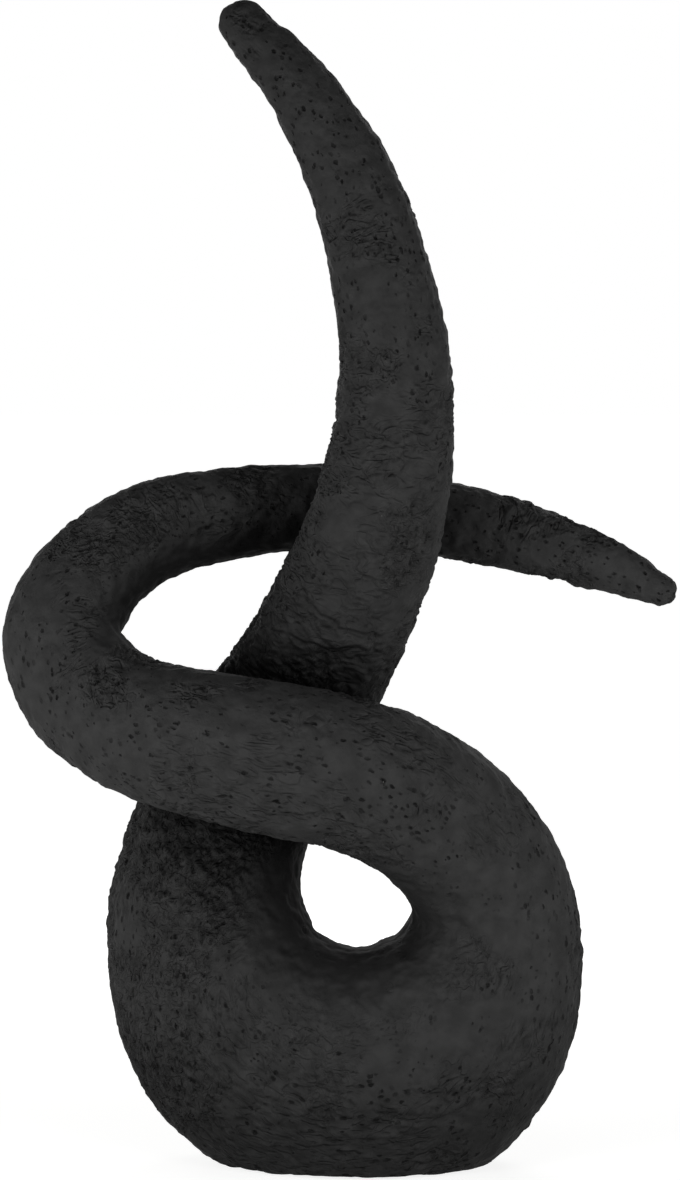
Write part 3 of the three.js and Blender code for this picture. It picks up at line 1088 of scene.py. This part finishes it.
@dataclass(frozen=True)
class KeyedJoint:
    """A glued joint: a square tapered key in a socket, with a steel rod through both."""

    key_side: float = 19.0
    key_length: float = 14.0
    key_taper: float = 2.0
    # The key starts this far inside its casting
    key_root: float = 1.0
    fit: float = 0.3
    rod_diameter: float = 6.0
    rod_in_foot: float = 36.0
    rod_fit: float = 0.3
    glue_gap: float = 0.3
    # How far the skin's edge turns in at a joint's face
    face_inset: float = 1.2
    channel_pitch: float = 6.0

    def ring(self, section: Sections, ahead: float, half: float, square: bool, around: int) -> np.ndarray:
        """Return one inner ring of a casting.

        Args:
            section: The joint's single section.
            ahead: How far the ring lies from the joint, towards the strand's end.
            half: Half its width.
            square: True for a square, False for a circle.
            around: How many points it has.

        Returns:
            The ring's points.
        """
        turn = math.tau * np.arange(around) / around
        flat = np.stack([np.cos(turn), np.sin(turn)], axis=1)
        if square:
            flat /= np.abs(flat).max(axis=1, keepdims=True)
        centre = section.centre[0] + section.heading[0] * ahead
        return centre + half * (flat[:, :1] * section.across[0] + flat[:, 1:] * section.through[0])

    def socket(self, section: Sections, into: float, around: int) -> list[np.ndarray]:
        """Return the rings of the foot's socket and rod hole, from the joint's face inwards.

        Args:
            section: The joint's single section.
            into: 1 or -1, the way into the foot along the strand.
            around: How many points a ring has.

        Returns:
            The rings, in order.
        """
        wide = self.key_side / 2 + self.fit
        narrow = wide - self.key_taper / 2
        bore = self.rod_diameter / 2 + self.rod_fit
        deep = self.key_length + self.fit
        end = self.rod_in_foot + self.rod_fit
        face = self.glue_gap / 2
        places = ((face, wide, True), (deep, narrow, True), (deep, bore, False), (end, bore, False))
        return [self.ring(section, into * ahead, half, square, around) for ahead, half, square in places]

    def key(self, strand: Strand, way: float, into: float, reach: float, around: int) -> list[np.ndarray]:
        """Return the rings of a horn's key and rod channel, from the joint's face outwards and back in.

        Args:
            strand: The strand.
            way: Where the joint lies on it.
            into: 1 or -1, the way into the foot along the strand.
            reach: How far the rod runs in the horn.
            around: How many points a ring has.

        Returns:
            The rings, in order.
        """
        section = strand.sections(np.array([way]))
        narrowing = self.key_taper / 2 / self.key_length
        face = -self.glue_gap / 2
        tip = self.key_length - self.key_root
        root = self.key_side / 2 - narrowing * (self.key_root + face)
        end = self.key_side / 2 - self.key_taper / 2
        bore = self.rod_diameter / 2 + self.rod_fit
        places = ((face, root, True), (tip, end, True), (tip, bore, False), (0.0, bore, False))
        rings = [self.ring(section, into * ahead, half, square, around) for ahead, half, square in places]
        count = math.ceil((reach + self.rod_fit) / self.channel_pitch)
        for step in range(1, count + 1):
            along = strand.sections(np.array([way - into * (reach + self.rod_fit) * step / count]))
            rings.append(self.ring(along, 0.0, bore, False, around))
        return rings


@dataclass
class Casting:
    """One length of the strand, cast solid, with its skin, its joints' faces and its keys or sockets."""

    node: str
    run: Run
    # Points in each ring, and the distance between rings
    around: int
    pitch: float
    rod_reach: float = 0.0
    tip_length: float = 0.0
    tip_rings: int = 16
    tip_sweep: float = 84.0
    # The skin runs this many rings past a joint and is trimmed there, so that both sides shade alike
    overrun: int = 4
    joint: KeyedJoint = field(default_factory=KeyedJoint)

    def build(
        self, strand: Strand, skin: StrandSkin, tree: bpy.types.NodeTree, coat: bpy.types.Material
    ) -> bpy.types.Object:
        """Make the casting as one closed mesh.

        Args:
            strand: The strand's line.
            skin: The rule of the skin's relief.
            tree: The skin's node tree.
            coat: The material that it is coated with.

        Returns:
            The casting's object.
        """
        sections = self._skin_sections(strand)
        mesh = run_tree(tree, self._path(skin, sections), self._values(skin, coat))
        count = len(sections.way)
        held = {}
        for name, kind in {"position": "FLOAT_VECTOR", **STORED}.items():
            key, width = FORMS[kind]
            held[name] = np.empty(count * self.around * width)
            mesh.attributes[name].data.foreach_get(key, held[name])
            held[name] = held[name].reshape(count, self.around, width)
        bpy.data.meshes.remove(mesh)
        points = held.pop("position") / MM
        normals = self._normals(points)
        before, after = self._overruns
        keep = slice(before, count - after)
        kept = {name: values[keep] for name, values in held.items()}
        return self._assemble(strand, points[keep], normals[keep], kept, coat)

    @property
    def name(self) -> str:
        """The name of the piece."""
        return f"{self.node}_cast"

    @property
    def _overruns(self) -> tuple[int, int]:
        """How many rings the skin runs past its start and its end."""
        return tuple(self.overrun * at_joint for at_joint in self.run.value)

    def _span(self, strand: Strand) -> tuple[float, float]:
        """Return where on the strand the casting starts and ends."""
        marks = (0.0, strand.tall_joint, strand.band_joint, strand.total)
        return [*zip(marks, marks[1:])][[*Run].index(self.run)]

    def _skin_sections(self, strand: Strand) -> Sections:
        """Return the skin's sections, running a few rings past each joint and to the tip's end.

        Args:
            strand: The strand's line.

        Returns:
            The sections, in the order of the strand.
        """
        start, end = self._span(strand)
        count = math.ceil((end - start) / self.pitch)
        before, after = self._overruns
        body = strand.sections(start + (end - start) / count * np.arange(-before, count + after + 1))
        if self.run is Run.BETWEEN:
            return body
        tip = strand.tip(self.run is Run.TO_START, self.tip_length, self.tip_rings, self.tip_sweep)
        return tip.joined(body) if self.run is Run.TO_START else body.joined(tip)

    def _path(self, skin: StrandSkin, sections: Sections) -> bpy.types.Mesh:
        """Return points that carry the sections, in metres, and the skin's shares of relief.

        Args:
            skin: The rule of the skin's relief.
            sections: The skin's sections.

        Returns:
            A mesh of one point for each section.
        """
        mesh = bpy.data.meshes.new(f"{self.name}_path")
        mesh.from_pydata((sections.centre * MM).tolist(), [], [])
        for name, value in vars(sections).items():
            store(mesh, name, value if name in ("across", "through") else value * MM)
        for name, value in skin.shares(sections.way).items():
            store(mesh, name, value)
        return mesh

    def _values(self, skin: StrandSkin, coat: bpy.types.Material) -> dict[str, Any]:
        """Return the skin tree's inputs, in metres.

        Args:
            skin: The rule of the skin's relief.
            coat: The coat's material.

        Returns:
            The inputs by name.
        """
        return {
            "Around": self.around,
            "Ground height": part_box(self.node)[0].z if self.run is Run.BETWEEN else NO_GROUND,
            "Half box": tuple(side - skin.box_margin * MM for side in CAD_BOX[1]),
            "Sway height": skin.sway_height * MM,
            "Lump height": skin.lump_height * MM,
            "Grit height": skin.grit_height * MM,
            "Fold depths": (skin.fold_depth * MM,) * 3,
            "Dent depth": skin.dent_depth * MM,
            "Coat": coat,
        }

    @staticmethod
    def _normals(points: np.ndarray) -> np.ndarray:
        """Return the outward normals of the skin's points, which are given ring by ring."""
        round_it = np.roll(points, -1, axis=1) - np.roll(points, 1, axis=1)
        return unit(np.cross(round_it, np.gradient(points, axis=0)))

    def _inner_rings(self, strand: Strand, ring: np.ndarray, way: float) -> list[np.ndarray]:
        """Return the rings that close the casting at a joint, from the skin inwards.

        Args:
            strand: The strand.
            ring: The skin's last ring there.
            way: Where the joint lies.

        Returns:
            The rings, in order.
        """
        into = 1.0 if way == strand.tall_joint else -1.0
        section = strand.sections(np.array([way]))
        own = into if self.run is Run.BETWEEN else -into
        centre = section.centre[0]
        share = self.joint.face_inset / np.linalg.norm(ring - centre, axis=1)
        inset = ring + (centre - ring) * share[:, None] + section.heading[0] * own * self.joint.glue_gap / 2
        if self.run is Run.BETWEEN:
            return [inset, *self.joint.socket(section, into, self.around)]
        return [inset, *self.joint.key(strand, way, into, self.rod_reach, self.around)]

    def _assemble(
        self,
        strand: Strand,
        points: np.ndarray,
        normals: np.ndarray,
        kept: dict[str, np.ndarray],
        coat: bpy.types.Material,
    ) -> bpy.types.Object:
        """Close the skin at its ends and make the casting's object.

        Args:
            strand: The strand.
            points: The skin's points in millimetres, ring by ring.
            normals: Their normals.
            kept: What else the skin's points keep, by name.
            coat: The coat's material.

        Returns:
            The casting's object.
        """
        (start, end), (starts_at_joint, ends_at_joint) = self._span(strand), self.run.value
        first = self._inner_rings(strand, points[0], start)[::-1] if starts_at_joint else []
        last = self._inner_rings(strand, points[-1], end) if ends_at_joint else []
        rings = np.concatenate([np.array(part) for part in (first, points, last) if len(part)])
        mesh = closed_tube(self.name, rings * MM)
        skin = slice(len(first) * self.around, (len(first) + len(points)) * self.around)
        for name, values in kept.items():
            held = np.zeros((len(mesh.vertices), values.shape[2]))
            held[skin] = values.reshape(-1, values.shape[2])
            store(mesh, name, held)
        self._shade(mesh, normals, skin)
        mesh.materials.append(coat)
        return in_scene(self.name, mesh)

    def _shade(self, mesh: bpy.types.Mesh, normals: np.ndarray, skin: slice) -> None:
        """Shade the skin by its own normals and the inner faces flat.

        Args:
            mesh: The casting's mesh, its faces in the order of its rings.
            normals: The skin's normals, ring by ring.
            skin: Which of the mesh's points are the skin's.
        """
        point_normals = np.zeros((len(mesh.vertices), 3))
        point_normals[skin] = normals.reshape(-1, 3)
        smooth = np.zeros(len(mesh.polygons), bool)
        smooth[skin.start : skin.stop - self.around] = True
        mesh.polygons.foreach_set("use_smooth", smooth)
        corner = np.empty(len(mesh.loops), np.int32)
        mesh.loops.foreach_get("vertex_index", corner)
        corners_of = np.empty(len(mesh.polygons), np.int32)
        mesh.polygons.foreach_get("loop_total", corners_of)
        corner_normals = point_normals[corner]
        corner_normals[np.repeat(~smooth, corners_of)] = 0.0
        mesh.normals_split_custom_set(corner_normals.tolist())


@dataclass(frozen=True)
class FeltPad:
    """A self-adhesive felt disc under the foot, punched from a sheet, with loose fibres at its cut edge."""

    node: str
    seed: int
    around: int = 64
    edge_round: float = 0.3
    edge_steps: int = 4
    face_rings: int = 5
    # The punched edge wanders by this much, inwards only, in so many waves
    edge_wander: float = 0.12
    waves: tuple[int, ...] = (5, 9, 17)
    fibre_length: float = 0.7
    fibre_width: float = 0.05
    fibres_per_square_mm: float = 9.0
    # How far fibres stay off the table and the foot
    clearance: float = 0.02
    # A face whose normal points up or down by this share or more grows no fibres
    edge_slope: ClassVar[float] = 0.7
    # A fibre of length 1, the least and most that it leans and turns in radians, its points along and around,
    # and the shortest one's share of the longest
    fibre_bend: ClassVar[dict[str, tuple[float, float, float]]] = {
        "Start": (0.0, 0.0, -0.2),
        "Middle": (0.0, 0.1, 0.4),
        "End": (0.5, 0.3, 0.7),
    }
    fibre_turns: ClassVar[tuple[tuple[float, float, float], ...]] = ((-0.6, -0.6, 0.0), (0.6, 0.6, math.tau))
    fibre_points: ClassVar[int] = 4
    fibre_shortest: ClassVar[float] = 0.4

    def build(self, tree: bpy.types.NodeTree, felt: bpy.types.Material) -> bpy.types.Object:
        """Make the pad where the frame has it.

        Args:
            tree: The node tree that adds the fibres.
            felt: The material.

        Returns:
            The pad's object.
        """
        low, high = (np.array(corner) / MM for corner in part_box(self.node))
        disc = closed_tube(f"{self.node}_disc", self._rings(low, high) * MM)
        disc.materials.append(felt)
        values = {
            "Fibre length": self.fibre_length * MM,
            "Fibre width": self.fibre_width * MM,
            "Fibres per square metre": self.fibres_per_square_mm / MM**2,
            "Lowest": (low[2] + self.clearance) * MM,
            "Highest": (high[2] - self.clearance) * MM,
            "Seed": self.seed,
            "Felt": felt,
        }
        mesh = run_tree(tree, disc, values)
        mesh.name = f"{self.node}_disc"
        return in_scene(mesh.name, mesh)

    def _rings(self, low: np.ndarray, high: np.ndarray) -> np.ndarray:
        """Return the disc's rings from the middle of its underside to the middle of its top.

        Args:
            low: The pad's lowest corner in millimetres.
            high: Its highest corner.

        Returns:
            The rings' points in millimetres.
        """
        centre = (low + high) / 2
        radius = min(high[0] - low[0], high[1] - low[1]) / 2
        bend = np.radians(np.linspace(-90.0, 0.0, self.edge_steps))
        out = radius - self.edge_round + self.edge_round * np.cos(bend)
        up = low[2] + self.edge_round * (1 + np.sin(bend))
        flat = (radius - self.edge_round) * np.arange(1, self.face_rings) / self.face_rings
        reach = np.concatenate([flat, out, out[::-1], flat[::-1]])
        faces = [np.full(len(flat), level) for level in (low[2], high[2])]
        level = np.concatenate([faces[0], up, low[2] + high[2] - up[::-1], faces[1]])
        turn = math.tau * np.arange(self.around) / self.around
        shifts = np.random.default_rng(self.seed).uniform(0.0, math.tau, len(self.waves))
        wander = sum(np.sin(n * turn + s) for n, s in zip(self.waves, shifts)) / len(self.waves)
        scale = 1 - self.edge_wander * (1 + wander) / 2 / radius
        rings = np.empty((len(reach), self.around, 3))
        rings[..., 0] = centre[0] + reach[:, None] * np.cos(turn) * scale
        rings[..., 1] = centre[1] + reach[:, None] * np.sin(turn) * scale
        rings[..., 2] = level[:, None]
        return rings

    @classmethod
    def tree(cls) -> bpy.types.NodeTree:
        """Make the node tree, with a named input for each size that a pad may change.

        Returns:
            The tree that sets loose fibres on the cut edge of a disc.
        """
        sockets = {
            "Disc": "Geometry",
            "Fibre length": "Float",
            "Fibre width": "Float",
            "Fibres per square metre": "Float",
            "Lowest": "Float",
            "Highest": "Float",
            "Seed": "Int",
            "Felt": "Material",
        }
        tree, add, given = geometry_tree("cut_edge_fibres", sockets, "Pad")
        facing = add(SPLIT, (add("GeometryNodeInputNormal"),)).outputs
        steep = add(MATH, (facing[2],), operation="ABSOLUTE")
        edge = add(MATH, (steep, cls.edge_slope), operation="LESS_THAN")
        spread = {"Mesh": given["Disc"], "Selection": edge, "Density": given["Fibres per square metre"]}
        roots = add("GeometryNodeDistributePointsOnFaces", {**spread, "Seed": given["Seed"]})
        bent = add("GeometryNodeCurveQuadraticBezier", {"Resolution": cls.fibre_points, **cls.fibre_bend})
        section = add("GeometryNodeCurvePrimitiveCircle", {"Resolution": cls.fibre_points})
        half = add(MATH, (given["Fibre width"], given["Fibre length"]), operation="DIVIDE")
        half = add(MATH, (half, 0.5), operation="MULTIPLY")
        profile = add("GeometryNodeTransform", {"Geometry": section, "Scale": add(JOIN, (half,) * 3)})
        fibre = add("GeometryNodeCurveToMesh", {"Curve": bent, "Profile Curve": profile, "Fill Caps": True})
        turns = {**dict(enumerate(cls.fibre_turns)), "Seed": given["Seed"]}
        spin = add("FunctionNodeRandomValue", turns, data_type="FLOAT_VECTOR")
        turned = add("FunctionNodeRotateRotation", (roots.outputs["Rotation"], spin), rotation_space="LOCAL")
        sizes = {2: cls.fibre_shortest, 3: 1.0, "Seed": given["Seed"]}
        size = add("FunctionNodeRandomValue", sizes, data_type="FLOAT").outputs[1]
        size = add(MATH, (size, given["Fibre length"]), operation="MULTIPLY")
        shown = {"Points": roots, "Instance": fibre, "Rotation": turned, "Scale": add(JOIN, (size,) * 3)}
        real = add("GeometryNodeRealizeInstances", (add("GeometryNodeInstanceOnPoints", shown),))
        there = add(SPLIT, (add("GeometryNodeInputPosition"),)).outputs
        level = add(MATH, (there[2], given["Lowest"]), operation="MAXIMUM")
        level = add(MATH, (level, given["Highest"]), operation="MINIMUM")
        pressed = add(PLACE, {"Geometry": real, "Position": add(JOIN, (there[0], there[1], level))})
        both = add("GeometryNodeJoinGeometry", (given["Disc"],))
        tree.links.new(pressed.outputs[0], both.inputs[0])
        felted = add("GeometryNodeSetMaterial", {"Geometry": both, "Material": given["Felt"]})
        add("NodeGroupOutput", (felted,))
        return tree


@dataclass
class Sculpture:
    """The three castings with their rods and pads."""

    strand: Strand = field(default_factory=Strand)
    skin: StrandSkin = field(default_factory=StrandSkin)
    resin: CastResin = field(default_factory=CastResin)
    steel: DrawnSteel = field(default_factory=DrawnSteel)
    felt: PressedFelt = field(default_factory=PressedFelt)
    castings: tuple[Casting, ...] = (
        Casting("foot_loop", Run.BETWEEN, around=310, pitch=0.67),
        Casting("tall_horn", Run.TO_START, around=190, pitch=0.49, rod_reach=120.0, tip_length=6.0),
        Casting("band_and_short_horn", Run.TO_END, around=180, pitch=0.72, rod_reach=105.0, tip_length=4.5),
    )
    rods: tuple[str, ...] = ("tall_horn_rod", "band_rod")
    pads: tuple[FeltPad, ...] = (
        FeltPad("felt_pad_right_back", seed=11),
        FeltPad("felt_pad_left_back", seed=23),
        FeltPad("felt_pad_left_front", seed=37),
        FeltPad("felt_pad_right_front", seed=41),
    )

    def build(self) -> None:
        """Make the castings and the pads, and dress the rods."""
        coat = self.resin.material()
        tree = self.skin.tree()
        for casting in self.castings:
            self._place(casting.build(self.strand, self.skin, tree, coat), casting.node, Slot.RESIN)
        bpy.data.node_groups.remove(tree)
        felt = self.felt.material()
        tree = FeltPad.tree()
        for pad in self.pads:
            self._place(pad.build(tree, felt), pad.node, Slot.FELT)
        bpy.data.node_groups.remove(tree)
        steel = self.steel.material()
        for name in self.rods:
            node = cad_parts[name]
            for held in node.material_slots:
                held.material = steel
            LOG.info("%s: %s", name, steel.name)

    @staticmethod
    def _place(piece: bpy.types.Object, node: str, slot: Slot) -> None:
        """Let a piece stand for a node of the frame.

        Args:
            piece: The piece.
            node: The node's name.
            slot: The record's slot for the piece's finish. Not used.
        """
        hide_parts(node)
        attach(piece, ROOT)
        LOG.info("%s: %d faces", piece.name, len(piece.data.polygons))


# The studio


@dataclass(frozen=True)
class SoftLamp:
    """A round softbox that is aimed at the middle of the object.

    strength is 1 where a surface that faces it shows its own colour. angle is how wide it looks from
    the object, turn is how far it stands to the right of the front, and height how far it stands above
    the horizon, all in degrees. distance is how far away it stands, and aim the height that it is aimed at.
    """

    name: str
    strength: float
    turn: float
    height: float
    angle: float = 20.0
    distance: float = 500.0
    aim: float = 150.0

    def build(self) -> None:
        """Make the lamp."""
        away = self.distance * MM
        turn = math.radians(self.turn)
        height = math.radians(self.height)
        data = bpy.data.lights.new(self.name, "AREA")
        data.shape = "DISK"
        data.size = 2 * away * math.tan(math.radians(self.angle) / 2)
        data.energy = self.strength * math.pi**2 * away**2
        lamp = in_scene(self.name, data)
        level = away * math.cos(height)
        above = self.aim * MM + away * math.sin(height)
        lamp.location = (level * math.sin(turn), -level * math.cos(turn), above)
        lamp.rotation_euler = (math.pi / 2 - height, 0.0, turn)
        lamp.visible_camera = False


@dataclass(frozen=True)
class Studio:
    """A pale floor, and soft light from the front, both sides, above and behind."""

    floor_half: float = 4000.0
    floor_colour: str = "b4b4b2"
    # How much a floor that the lamps light falls short of white, for the camera and for what mirrors or
    # lets light through: up to the first distance from the middle, and beyond the second
    near_lift: float = 0.82
    far_lift: float = 1.0
    lift_from: float = 120.0
    lift_to: float = 420.0
    fill: float = 0.02
    lamps: tuple[SoftLamp, ...] = (
        SoftLamp("left_side", 0.24, turn=-80.0, height=-4.0),
        SoftLamp("left_front", 0.46, turn=-42.0, height=-5.0, distance=420.0),
        SoftLamp("right_front", 0.46, turn=36.0, height=-3.0),
        SoftLamp("right_side", 0.16, turn=64.0, height=-3.0),
        SoftLamp("top", 0.04, turn=20.0, height=60.0),
        SoftLamp("back_right", 0.26, turn=162.0, height=24.0, angle=30.0),
        SoftLamp("back_left", 0.2, turn=-160.0, height=8.0, angle=30.0),
    )

    def build(self) -> None:
        """Make the floor, the world and the lamps."""
        self._floor()
        self._world()
        for lamp in self.lamps:
            lamp.build()
        LOG.info("studio: floor, world and %d lamps", len(self.lamps))

    @staticmethod
    def _seen(add: Adder) -> bpy.types.Node:
        """Tell rays that show the background from rays that light things.

        Args:
            add: Adds a node to the tree.

        Returns:
            A node that is 1 for the first and 0 for the second.
        """
        rays = add("ShaderNodeLightPath").outputs
        first = add(MATH, (rays["Is Camera Ray"], rays["Is Glossy Ray"]), operation="MAXIMUM")
        return add(MATH, (first, rays["Is Transmission Ray"]), operation="MAXIMUM")

    def _floor(self) -> None:
        """Make the floor: matt painted board, which shows white where it is fully lit."""
        half = self.floor_half * MM
        mesh = bpy.data.meshes.new("floor")
        corners = [(-half, -half, 0), (half, -half, 0), (half, half, 0), (-half, half, 0)]
        mesh.from_pydata(corners, [], [(0, 1, 2, 3)])
        board = bpy.data.materials.new("matt_white_board")
        add = emptied(board)
        diffuse = add("ShaderNodeBsdfDiffuse", {"Color": linear(self.floor_colour)})
        place = add("ShaderNodeTexCoord").outputs["Object"]
        away = add(VECTOR, (place,), operation="LENGTH").outputs["Value"]
        ends = (self.lift_from * MM, self.lift_to * MM, self.near_lift, self.far_lift)
        graded = add(RANGE, (away, *ends), interpolation_type="SMOOTHSTEP")
        lift = add(MATH, (self._seen(add), graded), operation="MULTIPLY")
        glow = add("ShaderNodeEmission", {"Strength": lift})
        add("ShaderNodeOutputMaterial", {"Surface": add("ShaderNodeAddShader", (diffuse, glow))})
        mesh.materials.append(board)
        in_scene("floor", mesh)

    def _world(self) -> None:
        """Make the world: white where it is seen, and a soft fill elsewhere."""
        world = bpy.data.worlds.new("studio")
        bpy.context.scene.world = world
        add = emptied(world)
        level = add(RANGE, (self._seen(add), 0.0, 1.0, self.fill, 1.0))
        light = add("ShaderNodeBackground", {"Color": (1.0, 1.0, 1.0, 1.0), "Strength": level})
        add("ShaderNodeOutputWorld", {"Surface": light})


@dataclass(frozen=True)
class ShotCamera:
    """The camera, which stands a little above the object and looks slightly down."""

    place: tuple[float, float, float] = (-0.42, -1244.78, 282.0)
    target: tuple[float, float, float] = (-0.42, 5.22, 165.1)
    image_height: int = 1180
    focal_in_pixels: float = 4430.0
    sensor: float = 36.0

    def build(self) -> None:
        """Make the camera and set it as the scene's."""
        data = bpy.data.cameras.new("shot")
        data.sensor_fit = "AUTO"
        data.sensor_width = self.sensor
        data.lens = self.focal_in_pixels / self.image_height * self.sensor
        camera = in_scene("shot", data)
        back = np.array(self.place) - np.array(self.target)
        camera.location = [c * MM for c in self.place]
        drop = math.atan2(back[2], math.hypot(back[0], back[1]))
        camera.rotation_euler = (math.pi / 2 - drop, 0.0, math.atan2(back[0], -back[1]))
        bpy.context.scene.camera = camera
        LOG.info("camera: %.1f mm lens", data.lens)


def main() -> None:
    """Build the object and the studio round it."""
    logging.basicConfig(level=logging.INFO, format="%(message)s")
    bpy.context.scene.view_settings.view_transform = "Standard"
    Sculpture().build()
    Studio().build()
    ShotCamera().build()


if __name__ == "__main__":
    main()
